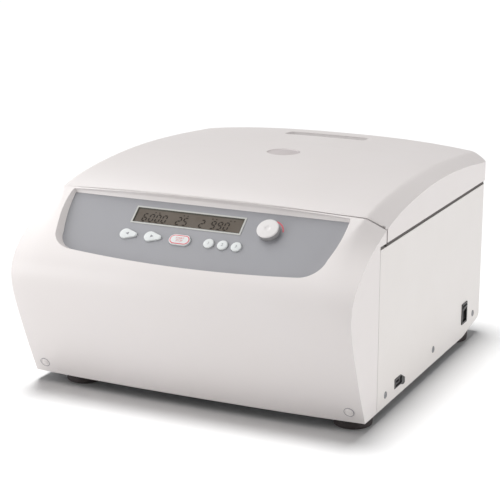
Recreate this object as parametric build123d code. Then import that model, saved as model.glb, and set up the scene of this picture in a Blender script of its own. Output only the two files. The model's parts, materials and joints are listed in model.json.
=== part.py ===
from build123d import *
import math
import os

os.makedirs("parts", exist_ok=True)

# Low-speed benchtop centrifuge with a hinged lid and a swing-out rotor.
# Millimetres, +Z up, front towards -Y, +X to the right of someone facing the front.
# The origin is on the bench, below the middle of the whole machine.

# Driving dimensions
WIDTH = 430.0            # side to side, over the sheet-metal cover
FOOT = 12.0              # the case stands this high above the bench
FRONT = -191.2          # y of the foot of the front, below its bulge
HALF = WIDTH / 2
COVER_BACK = 418.0       # depth of the sheet cover, from the foot of the front
COVER_TOP = 190.6        # height of the sheet cover above the underside of the case
LID_BASE = 194.6         # lower edge of the lid's skirt
LID_BACK = 427.0         # back of the lid at its sides
LID_BOW = 5.0            # how far the lid's back bows out in the middle
SHELL = 3.0              # wall of the moulded shells
SHEET = 1.2              # wall of the sheet cover
SEAM_X = 195.4           # half width between the folds along the lid's sides
COVER_FRONT = 36.5       # front edge of the sheet cover

AXIS_D = 246.0           # rotor axis, behind the foot of the front
BOWL_R = 156.0           # inside radius of the chamber
BOWL_FLOOR = 66.0
DECK_TOP = 184.6
PIVOT_R = 82.0           # buckets hang on studs at this radius
PIVOT_H = 150.0
BUCKET_R = 32.0
BUCKET_DROP = 63.0       # from the studs to the bucket's underside
BUCKET_TALL = 75.0

PANEL_TILT = 39.5        # control panel, from the horizontal
PANEL_D = 33.0           # a point on the panel's face
PANEL_H = 212.0

HINGE_D = 420.0
HINGE_H = 190.0
HINGE_X = 150.0

# Side profile: depth and height of each station, the direction in which the middle of the
# front stands out from it, how far, the half width of that raised middle, its crown, and how
# far the side walls run back.
FRONT_STATIONS = [
    (0.0, 0.0, 0.0, 0.6, 205.0, 1.0, 40.0),
    (-16.0, 36.0, 2.0, 0.6, 205.0, 1.0, 56.0),
    (-30.5, 72.0, 4.0, 0.7, 205.0, 1.2, 70.0),
    (-41.5, 102.0, 7.0, 0.9, 204.0, 1.4, 80.0),
    (-47.0, 128.0, 11.0, 1.2, 200.0, 1.6, 86.0),
    (-42.5, 150.0, 24.0, 2.0, 192.0, 2.0, 88.0),
    (-26.0, 169.5, 38.0, 3.4, 186.0, 2.4, 82.0),
    (-3.0, 185.0, 47.0, 6.2, 184.0, 2.8, 62.0),
    (22.0, 197.5, 50.5, 11.0, 188.0, 3.2, 36.0),
    (54.8, 209.2, 46.2, 19.5, SEAM_X, 3.6, 30.0),
]

# Lid: depth, height of its outer edge, of the fold inside it, and of its middle.
LID_STATIONS = [
    (22.0, 196.0, 217.5, 221.5),
    (54.8, 209.2, 226.0, 230.0),
    (105.0, 221.0, 234.0, 237.6),
    (170.0, 228.8, 238.9, 242.0),
    (240.0, 231.8, 240.2, 243.4),
    (300.0, 229.9, 238.4, 242.9),
    (362.0, 225.0, 234.5, 241.0),
    (436.0, 216.0, 228.2, 238.0),
]


def at(depth, height):
    """y and z of a point given by its depth behind the foot of the front and height in the case."""
    return FRONT + depth, FOOT + height


def block(x0, x1, d0, d1, h0, h1):
    """A box between two x values, two depths and two heights."""
    y0, z0 = at(d0, h0)
    y1, z1 = at(d1, h1)
    return Pos((x0 + x1) / 2, (y0 + y1) / 2, (z0 + z1) / 2) * Box(x1 - x0, y1 - y0, z1 - z0)


def upright(x, depth, h0, h1, radius):
    """A vertical cylinder between two heights."""
    y, z0 = at(depth, h0)
    return Pos(x, y, z0 + (h1 - h0) / 2) * Cylinder(radius, h1 - h0)


def ring(h0, h1, inner, outer):
    """A vertical ring round the rotor axis."""
    return upright(0, AXIS_D, h0, h1, outer) - upright(0, AXIS_D, h0 - 1, h1 + 1, inner)


def along_x(x0, x1, depth, height, radius):
    """A cylinder along X."""
    y, z = at(depth, height)
    return Pos((x0 + x1) / 2, y, z) * Rot(0, 90, 0) * Cylinder(radius, x1 - x0)


def along_y(x, d0, d1, height, radius):
    """A cylinder along Y."""
    y0, z = at(d0, height)
    return Pos(x, y0 + (d1 - d0) / 2, z) * Rot(90, 0, 0) * Cylinder(radius, d1 - d0)


def side_prism(points, x0, x1):
    """A prism along X with a side view given as depths and heights."""
    outline = Polyline(*[(x0, *at(d, h)) for d, h in points], close=True)
    return extrude(make_face(outline), amount=x1 - x0, dir=(1, 0, 0))


def panel_plane(rise=0.0):
    """The plane of the control panel's face, raised along its normal; local y runs up the slope."""
    tilt = math.radians(PANEL_TILT)
    y, z = at(PANEL_D, PANEL_H)
    normal = (0, -math.sin(tilt), math.cos(tilt))
    origin = (0, y + normal[1] * rise, z + normal[2] * rise)
    return Plane(origin=origin, x_dir=(1, 0, 0), z_dir=normal)


def on_panel(sketch, low, high):
    """A sketch in panel coordinates, raised into a solid between two heights above the face."""
    return extrude(panel_plane(low) * sketch, amount=high - low)


def write(node, shape):
    """One piece, or one group of like fasteners, in its own file."""
    export_step(shape, f"parts/{node}.step")


# Moulded front

def front_section(station, wall):
    """One cross-section of the front, in the plane through its side edges and its raised middle.

    With a wall it is the hollow section of the moulding, without one it is filled.
    """
    depth, height, lean, rise, half_middle, crown, deep = station
    angle = math.radians(lean)
    y, z = at(depth, height)
    plane = Plane(origin=(0, y, z), x_dir=(1, 0, 0), z_dir=(0, -math.sin(angle), -math.cos(angle)))
    outside = Polyline((-half_middle, rise), (-HALF, 0), (-HALF, -deep))
    outside = outside + Polyline((HALF, -deep), (HALF, 0), (half_middle, rise))
    outside = outside + ThreePointArc((half_middle, rise), (0, rise + crown), (-half_middle, rise))
    if not wall:
        return plane * make_face(outside + Line((-HALF, -deep), (HALF, -deep)))
    half = HALF - wall
    middle = half_middle - wall / 2
    top = rise - wall
    inside = Polyline((-HALF, -deep), (-half, -deep), (-half, -wall), (-middle, top))
    inside = inside + ThreePointArc((-middle, top), (0, top + crown), (middle, top))
    inside = inside + Polyline((middle, top), (half, -wall), (half, -deep), (HALF, -deep))
    return plane * make_face(outside + inside)


def front_block():
    """The filled shape of the front."""
    return loft([front_section(station, 0) for station in FRONT_STATIONS], ruled=True)


def panel_outline():
    """The control panel: straight on top, slightly drawn in below, with a long curved lower edge."""
    right_side = ThreePointArc((176, 4), (173.4, -24), (167, -50))
    right_corner = ThreePointArc((167, -50), (160, -65.5), (146, -73))
    lower_edge = ThreePointArc((146, -73), (0, -80), (-146, -73))
    left_corner = ThreePointArc((-146, -73), (-160, -65.5), (-167, -50))
    left_side = ThreePointArc((-167, -50), (-173.4, -24), (-176, 4))
    top_edge = Line((-176, 4), (176, 4))
    return make_face([right_side, right_corner, lower_edge, left_corner, left_side, top_edge])


RECESS_DRAFT = 30.0      # slope of the wall round the control panel
PLUG_X = 198.5
PLUG_H = 14.0
PLUG_R = 5.2


def plug_plane(x, rise):
    """A plane on the lower front at a screw plug, facing out of it."""
    d0, h0 = FRONT_STATIONS[0][:2]
    d1, h1 = FRONT_STATIONS[1][:2]
    share = PLUG_H / (h1 - h0)
    run = math.hypot(d1 - d0, h1 - h0)
    normal = (0, -(h1 - h0) / run, (d1 - d0) / run * -1)
    y, z = at(d0 + (d1 - d0) * share - 0.6, PLUG_H)
    origin = (x, y + normal[1] * rise, z + normal[2] * rise)
    return Plane(origin=origin, x_dir=(1, 0, 0), z_dir=normal)


def front_fascia():
    filled = front_block()
    shell = loft([front_section(station, SHELL) for station in FRONT_STATIONS], ruled=True)
    shell = shell - block(-230, 230, 53.8, 120, -5, 230)
    shell = shell - block(-230, 230, 35.7, 60, -5, LID_BASE)
    reach = 30.0
    outer_wall = extrude(panel_plane() * offset(panel_outline(), SHELL), amount=reach, taper=-RECESS_DRAFT)
    inner_wall = extrude(panel_plane() * panel_outline(), amount=reach, taper=-RECESS_DRAFT)
    floor_clear = extrude(panel_plane() * offset(panel_outline(), SHELL + 0.3), amount=-20)
    shell = shell + (outer_wall & filled)
    shell = shell - inner_wall - floor_clear
    for x in (-PLUG_X, PLUG_X):
        shell = shell - extrude(plug_plane(x, -6) * Circle(PLUG_R + 0.1), amount=12)
    return shell


def fascia_plugs():
    return [extrude(plug_plane(x, -3.0) * Circle(PLUG_R), amount=3.6) for x in (-PLUG_X, PLUG_X)]


# Control panel

DISPLAY_X = (-85.2, 52.8)
DISPLAY_V = (-23.6, -2.8)
KEY_ROW = -42.6
KEY_GAP = 0.4
SMALL_KEYS = [21.9, 39.3, 56.5]
KNOB_X = 88.0
KNOB_V = -17.0


def teardrop(x, grow=0.0):
    """Outline of a drop-shaped key, round on its left and drawn out to its right."""
    big = Pos(x - 4.0, KEY_ROW) * Circle(7.0 + grow)
    small = Pos(x + 8.0, KEY_ROW) * Circle(3.0 + grow)
    return make_hull(big.edges() + small.edges())


def oval(x, grow=0.0):
    """Outline of the start and stop key."""
    return Pos(x, KEY_ROW) * SlotOverall(27.0 + 2 * grow, 14.5 + 2 * grow)


def dot(x, grow=0.0):
    """Outline of a small round key."""
    return Pos(x, KEY_ROW) * Circle(6.3 + grow)


KEYS = {
    "key_left": (teardrop, -82.0),
    "key_middle": (teardrop, -50.0),
    "start_stop_key": (oval, -15.0),
    "small_key_1": (dot, SMALL_KEYS[0]),
    "small_key_2": (dot, SMALL_KEYS[1]),
    "small_key_3": (dot, SMALL_KEYS[2]),
}
PLATE = 2.5              # control panel plate


def display_rectangle(grow=0.0):
    """Outline of the display window."""
    width = DISPLAY_X[1] - DISPLAY_X[0] + 2 * grow
    height = DISPLAY_V[1] - DISPLAY_V[0] + 2 * grow
    return Pos(sum(DISPLAY_X) / 2, sum(DISPLAY_V) / 2) * Rectangle(width, height)


def control_panel():
    plate = on_panel(offset(panel_outline(), SHELL), -PLATE, 0)
    plate = plate - on_panel(display_rectangle(0.1), -5, 5)
    for outline, x in KEYS.values():
        plate = plate - on_panel(outline(x, KEY_GAP), -5, 5)
    return plate - on_panel(Pos(KNOB_X, KNOB_V) * Circle(4.5), -5, 5)


def display_window():
    return on_panel(display_rectangle(), -PLATE, 0.2)


def display_frame():
    return on_panel(display_rectangle(2.0) - display_rectangle(0.1), 0, 0.5)


def key(outline, x):
    """A key cap with a flange under the panel that keeps it in."""
    cap = on_panel(outline(x), -4.0, 1.8)
    flange = on_panel(outline(x, 1.6), -4.2, -3.0)
    return cap + flange


def start_key_cap():
    """The start and stop key, with a groove for its coloured ring."""
    groove = on_panel(oval(KEYS["start_stop_key"][1], -1.2), 1.2, 3) \
        - on_panel(oval(KEYS["start_stop_key"][1], -2.8), 1.2, 3)
    return key(*KEYS["start_stop_key"]) - groove


def start_key_ring():
    x = KEYS["start_stop_key"][1]
    return on_panel(oval(x, -1.25), 1.2, 2.0) - on_panel(oval(x, -2.75), 1.2, 2.0)


def selector_knob():
    skirt = on_panel(Pos(KNOB_X, KNOB_V) * Circle(13.0), 0.6, 3.0)
    grip = extrude(panel_plane(3.0) * Pos(KNOB_X, KNOB_V) * Circle(12.4), amount=8.0, taper=3)
    shaft = on_panel(Pos(KNOB_X, KNOB_V) * Circle(3.0), -4.0, 0.6)
    pointer = on_panel(Pos(KNOB_X, KNOB_V + 7.5) * Rectangle(1.6, 5.0), 10.6, 12.0)
    return skirt + grip + shaft - pointer


def control_board():
    """The circuit board behind the panel, with its display, key switches and encoder."""
    board = on_panel(Pos(-6.0, -25.0) * Rectangle(220, 62), -12.0, -10.4)
    middle = (DISPLAY_X[0] + DISPLAY_X[1]) / 2
    display = on_panel(Pos(middle, sum(DISPLAY_V) / 2) * Rectangle(146, 27), -10.4, -PLATE)
    board = board + display
    for _, x in KEYS.values():
        board = board + on_panel(Pos(x, KEY_ROW) * Rectangle(6, 6), -10.4, -5.4)
    encoder = on_panel(Pos(KNOB_X, KNOB_V) * Rectangle(14, 14), -10.4, -4.4)
    return board + encoder


# Lid

def lid_section(station, inset):
    """One upright cross-section of the lid."""
    depth, edge, fold, middle = station
    y = FRONT + depth
    half = HALF - inset
    seam = SEAM_X - inset * 0.4
    low = FOOT + LID_BASE - (60 if inset else 0)
    edge_z = FOOT + edge - inset
    fold_z = FOOT + fold - inset
    top_z = FOOT + middle - inset
    sides = Polyline((seam, y, fold_z), (half, y, edge_z), (half, y, low),
                     (-half, y, low), (-half, y, edge_z), (-seam, y, fold_z))
    arch = ThreePointArc((-seam, y, fold_z), (0, y, top_z), (seam, y, fold_z))
    return make_face(sides + arch)


def lid_block(inset=0.0):
    return loft([lid_section(station, inset) for station in LID_STATIONS])


def lid_plan(inset=0.0):
    """The lid seen from above: straight sides and a bowed back with rounded corners."""
    half = HALF - inset
    back = FRONT + LID_BACK - inset
    bow = back + LID_BOW
    front = FRONT
    corner = 12.0
    outline = Polyline((-half, back), (-half, front), (half, front), (half, back))
    arc = ThreePointArc((half, back), (0, bow), (-half, back))
    face = make_face(outline + arc)
    corners = face.vertices().sort_by(Axis.Y)[-2:]
    face = fillet(corners, corner - inset * 0.5)
    return extrude(face, amount=400)


def seam_wedge(back_off):
    """What lies in front of the lid: the slanted seam, then straight down behind the front's top."""
    slope = math.radians(46.2)
    out_d = math.sin(slope) * back_off
    out_h = math.cos(slope) * back_off
    return [(-60, 190), (-60, 290), (41.3 + out_d - 30, 223.3 + out_h + 31.3), (41.3 + out_d, 223.3 + out_h),
            (54.8 + out_d, 209.2 + out_h)]


RAIL_X = 203.0
WINDOW_D = 252.0
WINDOW_R = 20.8
POCKET_X = 58.0
POCKET_D = (382.0, 406.0)


def pocket_prism(shrink, low):
    """The shallow pocket near the lid's back, as a rounded upright prism."""
    y0, z0 = at(POCKET_D[0] + shrink, low)
    y1 = FRONT + POCKET_D[1] - shrink
    outline = Pos(0, (y0 + y1) / 2, z0) * RectangleRounded(2 * (POCKET_X - shrink), y1 - y0, 5)
    return extrude(outline, amount=40)


def lid_shell():
    outer = lid_block() & lid_plan()
    front_cut = side_prism(seam_wedge(1.0) + [(54.8, 209.2), (54.8, 190)], -240, 240)
    rail_cut = side_prism([(40, 190), (50, 214.5), (61, 203.0), (61, 190)], -RAIL_X - 1, RAIL_X + 1)
    outer = outer - front_cut - rail_cut
    cavity = lid_block(SHELL) & lid_plan(SHELL)
    cavity = cavity - side_prism(seam_wedge(4.4) + [(64.5, 203.5), (64.5, 100), (-60, 100)], -240, 240)
    shell = outer - cavity
    shell = shell - upright(0, WINDOW_D, 190, 260, WINDOW_R + 0.2)
    return shell - pocket_prism(0.0, 225)


def lid_pocket():
    """A moulded insert that lines the pocket near the lid's back."""
    body = pocket_prism(0.2, 232.0) & lid_block(0.2)
    return body - pocket_prism(2.0, 234.5)


def lid_window():
    return upright(0, WINDOW_D, 241.0, 243.0, WINDOW_R)


def window_tube():
    return upright(0, WINDOW_D, 193.0, 241.0, WINDOW_R) - upright(0, WINDOW_D, 190, 245, WINDOW_R - 2)


LINER_LOW = 196.0
LINER_HIGH = 198.0
GASKET_TOP = 190.2


def lid_liner():
    y, z = at((65.0 + 423.0) / 2, LINER_LOW)
    outline = Pos(0, y, z) * RectangleRounded(423.0, 423.0 - 65.0, 12.0)
    plate = extrude(outline, amount=LINER_HIGH - LINER_LOW)
    plate = plate + ring(GASKET_TOP + 0.4, LINER_LOW, BOWL_R + 3, BOWL_R + 9)
    return plate - upright(0, WINDOW_D, 150, 250, WINDOW_R + 0.3)


STRIKER_X = 70.0
STRIKER_D = (65.0, 75.0)


def lid_strikers():
    strikers = []
    for x in (-STRIKER_X, STRIKER_X):
        foot = block(x - 8, x + 8, 66.0, 78.0, 194.0, LINER_LOW)
        blade = block(x - 1.5, x + 1.5, *STRIKER_D, 168.0, LINER_LOW)
        mouth = block(x - 5, x + 5, 60.0, 71.7, 171.5, 180.0)
        strikers.append(foot + blade - mouth)
    return strikers


def lid_arms():
    """The leaves that carry the lid, each with its knuckle between two fixed ones."""
    arms = []
    for x in (-HINGE_X, HINGE_X):
        leaf = block(x - 8.6, x + 8.6, 392.0, HINGE_D, 193.0, LINER_LOW)
        knuckle = along_x(x - 8.6, x + 8.6, HINGE_D, HINGE_H, 4.5)
        bore = along_x(x - 12, x + 12, HINGE_D, HINGE_H, 2.55)
        arms.append(leaf + knuckle - bore)
    return arms


def hinge_pins():
    return [along_x(x - 23, x + 23, HINGE_D, HINGE_H, 2.5) for x in (-HINGE_X, HINGE_X)]


def hinge_brackets():
    brackets = []
    for x in (-HINGE_X, HINGE_X):
        foot = block(x - 22, x + 22, 388.0, 406.0, DECK_TOP, 187.0)
        bracket = foot
        for side in (-1, 1):
            mid = x + side * 15.5
            cheek = block(mid - 6.5, mid + 6.5, 400.0, HINGE_D, DECK_TOP, 188.6)
            knuckle = along_x(mid - 6.5, mid + 6.5, HINGE_D, HINGE_H, 4.5)
            bracket = bracket + cheek + knuckle
        brackets.append(bracket - along_x(x - 30, x + 30, HINGE_D, HINGE_H, 2.55))
    return brackets


# Case

SWITCH_D = 348.0
SWITCH_H = 32.2
SWITCH_HOLE = (18.6, 25.6)
RAMP_D = 345.0           # from here the underside rises towards the back
RAMP_H = 9.5             # height of the underside 408 mm behind the foot of the front
RELEASE_OUTLINE = [(92, 23), (113, 23), (127, 15.5), (127, 8.5), (122, 7.5), (112, 10.5), (92, 10.5)]
SCREW_PLACES = [(62.6, 13.6), (227.6, 18.6), (385.3, 21.3)]
INLET_X = 140.0
INLET_H = 46.0


def side_cover():
    """Left side, back and right side, folded from one sheet, with a lip along the top."""
    plan = Pos(0, FRONT + (COVER_FRONT + COVER_BACK) / 2, FOOT) \
        * extrude(Rectangle(WIDTH, COVER_BACK - COVER_FRONT), amount=COVER_TOP)
    back_edges = plan.edges().filter_by(Axis.Z).sort_by(Axis.Y)[-2:]
    plan = fillet(back_edges, 6.0)
    inside = Pos(0, FRONT + (COVER_FRONT + COVER_BACK) / 2, FOOT - 5) \
        * extrude(Rectangle(WIDTH - 2 * SHEET, COVER_BACK - COVER_FRONT), amount=COVER_TOP + 5 - SHEET)
    inside = Pos(0, -SHEET, 0) * inside
    inner_edges = inside.edges().filter_by(Axis.Z).sort_by(Axis.Y)[-2:]
    inside = fillet(inner_edges, 6.0 - SHEET)
    cover = plan - inside - block(-207, 207, 0, 412, 150, 210)
    cover = cover - block(-230, 230, 20, COVER_FRONT, -5, 210)
    cover = cover - side_prism([(RAMP_D, -5), (RAMP_D, 0), (408, RAMP_H), (414, 15), (418, 22),
                                (425, 25), (425, -5)], -230, 230)
    for x in (-HINGE_X, HINGE_X):
        cover = cover - block(x - 26, x + 26, 380, 425, 184.2, 200)
    release_hole = side_prism(RELEASE_OUTLINE, 205, 220)
    half_d, half_h = SWITCH_HOLE[0] / 2, SWITCH_HOLE[1] / 2
    switch_hole = block(205, 220, SWITCH_D - half_d, SWITCH_D + half_d, SWITCH_H - half_h, SWITCH_H + half_h)
    cover = cover - release_hole - switch_hole
    for depth, height in SCREW_PLACES:
        cover = cover - along_x(-220, -205, depth, height, 2.1) - along_x(205, 220, depth, height, 2.1)
    cover = cover - block(INLET_X - 14, INLET_X + 14, 400, 430, INLET_H - 10.5, INLET_H + 10.5)
    for row in range(9):
        height = 70 + row * 9
        for x in (-110, 0, 110):
            cover = cover - block(x - 38, x + 38, 400, 430, height - 1.6, height + 1.6)
    return cover


SEAL_X = HALF - 0.8


def rim_seal():
    """The dark foam strip on the cover's lip, below the lid's skirt."""
    strip = block(-SEAL_X, SEAL_X, 56, COVER_BACK - 0.8, COVER_TOP, 193.6)
    back_edges = strip.edges().filter_by(Axis.Z).sort_by(Axis.Y)[-2:]
    strip = fillet(back_edges, 5.4) - block(-207.5, 207.5, 50, 412.5, 185, 200)
    for x in (-HINGE_X, HINGE_X):
        strip = strip - block(x - 28, x + 28, 380, 430, 180, 200)
    return strip


def cover_screws():
    screws = []
    for side in (-1, 1):
        for depth, height in SCREW_PLACES:
            head = along_x(HALF, HALF + 1.2, depth, height, 3.9)
            shank = along_x(HALF - 6, HALF, depth, height, 2.0)
            slot = block(HALF + 0.6, HALF + 3, depth - 3, depth + 3, height - 0.5, height + 0.5)
            slot = slot + block(HALF + 0.6, HALF + 3, depth - 0.5, depth + 0.5, height - 3, height + 3)
            screw = head + shank - slot
            screws.append(screw if side > 0 else mirror(screw, Plane.YZ))
    return screws


def base_plate():
    side_view = [(5, 0), (RAMP_D, 0), (408, RAMP_H), (408, RAMP_H + 2), (RAMP_D - 0.3, 2), (5, 2)]
    plate = side_prism(side_view, -211, 211)
    for x, depth in FOOT_PLACES:
        plate = plate - upright(x, depth, -2, 12, 2.6)
    return plate


FOOT_PLACES = [(-163, 27), (190, 27), (-163, 370), (190, 370)]
FOOT_R = 21.0


def rubber_foot(x, depth):
    """A tapered rubber foot with a pocket for its screw; the back ones are wedged to the underside."""
    y, z = at(depth, -FOOT)
    foot = Pos(x, y, z) * Cone(FOOT_R - 2, FOOT_R, FOOT, align=(Align.CENTER, Align.CENTER, Align.MIN))
    if depth > AXIS_D:
        wedge = upright(x, depth, 0, 8, FOOT_R)
        foot = foot + (wedge & side_prism([(RAMP_D, 0), (408, RAMP_H), (408, 0)], x - 30, x + 30))
    return foot - upright(x, depth, -FOOT - 1, -7, 6.5) - upright(x, depth, -FOOT - 1, 10, 2.6)


def foot_screws():
    return [upright(x, d, -10, -7, 5.5) + upright(x, d, -7, 9, 2.5) for x, d in FOOT_PLACES]


def deck():
    """The upper frame plate round the chamber's mouth."""
    plate = block(-208, 208, 60, 414, DECK_TOP - 2, DECK_TOP)
    plate = plate - upright(0, AXIS_D, 150, 200, BOWL_R + 2)
    for x in (-STRIKER_X, STRIKER_X):
        plate = plate - block(x - 7, x + 7, 61, 78, 150, 200)
    return plate


LIP_X = 194.0


def front_rail():
    """The sheet rail behind the front's top edge, which closes the space down to the deck."""
    upright_part = side_prism([(58.5, DECK_TOP - 2), (60, DECK_TOP - 2), (60, 203.6), (58.5, 205.1)],
                              -RAIL_X, RAIL_X)
    lip = side_prism([(58.5, 205.1), (38.0, 226.5), (37.1, 225.6), (58.5, 203.3)], -LIP_X, LIP_X)
    below_front = Pos(0, 0.692 * (SHELL + 1), -0.722 * (SHELL + 1)) * front_block()
    return upright_part + (lip & below_front)


POST_PLACES = [(190, 74), (196, 398)]


def frame_posts():
    """Four folded angle posts between the base plate and the deck."""
    posts = []
    for x, depth in POST_PLACES:
        turn = 1 if depth < AXIS_D else -1
        web = block(x - 1, x + 1, depth - 10, depth + 10, 2, DECK_TOP - 2)
        leaf_d = depth - turn * 9
        leaf = block(x - 18, x - 1, leaf_d - 1, leaf_d + 1, 2, DECK_TOP - 2)
        post = web + leaf - side_prism([(300, -5), (300, 2), (RAMP_D - 0.3, 2), (408, RAMP_H + 2),
                                        (430, RAMP_H + 6), (430, -5)], 100, 230)
        posts += [post, mirror(post, Plane.YZ)]
    return posts


# Chamber and drive

def chamber_bowl():
    """The steel bowl: a wall with a flange on the deck, a flat floor and a raised neck."""
    y, z = at(AXIS_D, 0)
    wall = 1.2
    points = [(20, 84), (20, 85.2), (21.2, 85.2), (25.2, BOWL_FLOOR + wall), (BOWL_R, BOWL_FLOOR + wall),
              (BOWL_R, DECK_TOP + wall), (BOWL_R + 10, DECK_TOP + wall), (BOWL_R + 10, DECK_TOP),
              (BOWL_R + wall, DECK_TOP),
              (BOWL_R + wall, BOWL_FLOOR), (24, BOWL_FLOOR)]
    outline = Polyline(*[(r, 0, h) for r, h in points], close=True)
    return Pos(0, y, z) * revolve(make_face(outline), Axis.Z)


def chamber_gasket():
    return ring(DECK_TOP + 1.2, GASKET_TOP, BOWL_R + 2.5, BOWL_R + 9)


def guard_ring():
    return ring(50.0, DECK_TOP - 2, BOWL_R + 3.5, BOWL_R + 7.5)


def spindle_boot():
    return ring(85.2, 88.0, 9.5, 21.0)


MOTOR_R = 52.0
DAMPER_R = 66.0


def motor_housing():
    """The drive motor, hung by its flange from four rubber dampers."""
    body = upright(0, AXIS_D, 8, 62, MOTOR_R) + upright(0, AXIS_D, 34, 38, DAMPER_R + 12)
    return body - upright(0, AXIS_D, 48, 90, 8.05)


def motor_dampers():
    dampers = []
    for turn in range(4):
        angle = math.radians(45 + 90 * turn)
        dampers.append(upright(DAMPER_R * math.cos(angle), AXIS_D + DAMPER_R * math.sin(angle), 2, 34, 10))
    return dampers


def spindle():
    return upright(0, AXIS_D, 50, 128, 8) + upright(0, AXIS_D, 128, 149.8, 12)


# Rotor

NOTCH = 43.0             # half width of each bucket's place in the yoke


def rotor_yoke():
    """A thick cross that carries four buckets between its arms, with a stud on each arm face."""
    plate = upright(0, AXIS_D, PIVOT_H - 8, PIVOT_H + 8, 112)
    y, _ = at(AXIS_D, 0)
    middle = Pos(0, y, 0)
    notch = Pos(96, 0, FOOT + PIVOT_H) * Box(100, 2 * NOTCH, 40)
    studs = []
    for turn in range(4):
        plate = plate - middle * Rot(0, 0, 90 * turn) * notch
        for side in (-1, 1):
            stud = Pos(PIVOT_R, side * (NOTCH - 4.6), FOOT + PIVOT_H) * Rot(90, 0, 0) * Cylinder(4.9, 10.8)
            studs.append(middle * Rot(0, 0, 90 * turn) * stud)
    for stud in studs:
        plate = plate + stud
    plate = plate + upright(0, AXIS_D, 140, 166, 26)
    return plate - upright(0, AXIS_D, 130, 150, 12.05) - upright(0, AXIS_D, 140, 170, 5.1)


def rotor_nut():
    y, z = at(AXIS_D, 166)
    head = Pos(0, y, z) * extrude(RegularPolygon(15, 6), amount=10)
    return head + upright(0, AXIS_D, 150, 166, 5.0)


def bucket(turn):
    """One round bucket with a hooked ear on each side."""
    low = PIVOT_H - BUCKET_DROP
    body = Pos(0, 0, low) * Cylinder(BUCKET_R, BUCKET_TALL, align=(Align.CENTER, Align.CENTER, Align.MIN))
    body = chamfer(body.edges().sort_by(Axis.Z)[0], 2.0)
    for side in (-1, 1):
        body = body + Pos(0, side * 30.5, PIVOT_H + 1) * Box(20, 22, 18)
        body = body - Pos(0, side * 37.6, PIVOT_H) * Rot(90, 0, 0) * Cylinder(5.0, 10.2)
        body = body - Pos(0, side * 37.6, PIVOT_H - 10) * Box(10, 10.2, 20)
    body = body - Pos(0, 0, low + 2) * Cylinder(BUCKET_R - 1.8, 90, align=(Align.CENTER, Align.CENTER, Align.MIN))
    y, z = at(AXIS_D, 0)
    return Pos(0, y, z) * Rot(0, 0, 90 * turn) * Pos(PIVOT_R, 0, 0) * body


TUBE_R = 9.0
TUBE_RING = 15.5


def bucket_insert(turn):
    """The tube rack inside a bucket, with three tube wells."""
    low = PIVOT_H - BUCKET_DROP + 2
    body = Pos(0, 0, low) * Cylinder(BUCKET_R - 2.0, 58, align=(Align.CENTER, Align.CENTER, Align.MIN))
    for hole in range(3):
        angle = math.radians(90 + 120 * hole)
        place = Pos(TUBE_RING * math.cos(angle), TUBE_RING * math.sin(angle), low + 5)
        body = body - place * Cylinder(TUBE_R, 90, align=(Align.CENTER, Align.CENTER, Align.MIN))
    y, z = at(AXIS_D, 0)
    return Pos(0, y, z) * Rot(0, 0, 90 * turn) * Pos(PIVOT_R, 0, 0) * body


# Latch and emergency release

def latch_bar():
    """A bar with two fingers that slide through the strikers when the lid is locked."""
    bar = block(-92, 98, 77, 81, 172.5, 178.5) + along_x(98, 113, 79, 175.5, 2.0)
    for x in (-STRIKER_X, STRIKER_X):
        arm = block(x + 11, x + 16, 67.2, 77, 173, 178)
        finger = block(x + 3, x + 16, 67.2, 70.8, 173, 178)
        bar = bar + arm + finger
    return bar


def latch_housing():
    """A tray with end walls and two guides for the bar."""
    tray = block(-106, 143, 61, 81.8, 164, 166.5)
    tray = tray + block(-106, -103, 61, 81.8, 166.5, DECK_TOP - 2)
    tray = tray + block(140, 143, 61, 81.8, 166.5, DECK_TOP - 2)
    for x in (-40, 30):
        tray = tray + block(x - 6, x + 6, 76, 81.8, 166.5, 172.4)
    return tray


def latch_motor():
    return block(102, 140, 63, 81.8, 166.5, DECK_TOP - 2) - along_x(100, 118, 79, 175.5, 2.1)


TAB_D = (96.8, 115.4)    # the emergency release's pull tab


def release_bezel():
    """The frame of the emergency lid release, held behind the cover's right side by its flange."""
    nose = offset(make_face(Polyline(*RELEASE_OUTLINE, close=True)), -0.25)
    side = Plane(origin=(212.0, *at(0, 0)), x_dir=(0, 1, 0), z_dir=(1, 0, 0))
    body = extrude(side * nose, amount=HALF + 0.4 - 212.0)
    body = body + block(209.0, HALF - SHEET, 87, 132, 4, 27)
    return body - block(200, 220, TAB_D[0] - 0.5, TAB_D[1] + 0.5, 12.2, 21.0)


def release_tab():
    pocket = block(209, 218, TAB_D[0] + 3.5, TAB_D[1] - 3.5, 15.0, 18.2)
    return block(203, 213.6, *TAB_D, 12.7, 20.5) - pocket


# Switch, inlet and electronics

ROCKER_X = 211.5         # the rocker turns about this line
PIN_R = 1.4
ROCKER_SIDE = [(-9.5, 207.5), (-10.9, 213.2), (0.0, 214.4), (10.3, 218.0), (9.8, 208.5), (0.0, 206.5)]


def switch_bezel():
    """The switch's body with its thin outer frame."""
    half_d = SWITCH_HOLE[0] / 2 - 0.15
    half_h = SWITCH_HOLE[1] / 2 - 0.15
    body = block(194, HALF, SWITCH_D - half_d, SWITCH_D + half_d, SWITCH_H - half_h, SWITCH_H + half_h)
    body = body + block(HALF, HALF + 1.2, SWITCH_D - 10.25, SWITCH_D + 10.25, SWITCH_H - 13.75, SWITCH_H + 13.75)
    body = body - block(201, 220, SWITCH_D - 7.9, SWITCH_D + 7.9, SWITCH_H - 11.4, SWITCH_H + 11.4)
    return body - along_y(ROCKER_X, SWITCH_D - 8.7, SWITCH_D + 8.7, SWITCH_H, PIN_R + 0.1)


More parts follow.
